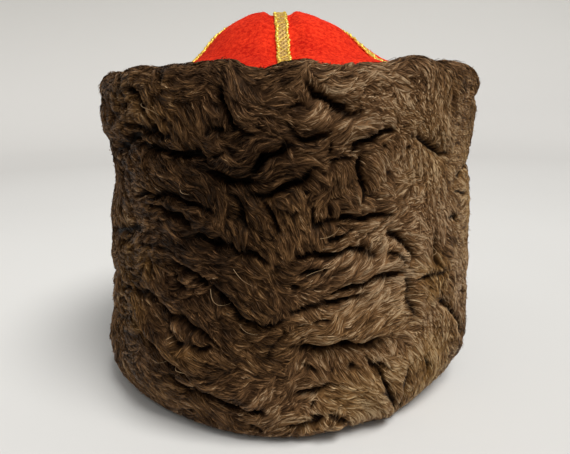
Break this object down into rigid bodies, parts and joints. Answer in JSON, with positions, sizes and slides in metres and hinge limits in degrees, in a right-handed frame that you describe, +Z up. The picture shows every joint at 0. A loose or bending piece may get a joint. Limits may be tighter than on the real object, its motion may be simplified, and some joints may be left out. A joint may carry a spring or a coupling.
{
  "type": "papakha",
  "caption": "Tall cylindrical cap of curled lambskin with a domed red cloth crown and a cross of gilt braid, open below for the head.",
  "frame": {"origin": "centre of the bounding box on the plane that the rim rests on", "axes": "+Z up, -Y toward the front of the cap, +X toward the wearer's left"},
  "size_m": [0.2128, 0.2284, 0.1999],
  "materials": {
    "karakul_fur": "curled brown lambskin",
    "red_felt": "milled woollen cloth",
    "gold_braid": "woven gilt thread"
  },
  "bodies": {
    "root": {"fur_band": "karakul_fur", "crown_gore_front_left": "red_felt", "crown_gore_front_right": "red_felt", "crown_gore_back_left": "red_felt", "crown_gore_back_right": "red_felt", "braid_front_to_back": "gold_braid", "braid_side_to_side": "gold_braid"}
  },
  "joints": []
}
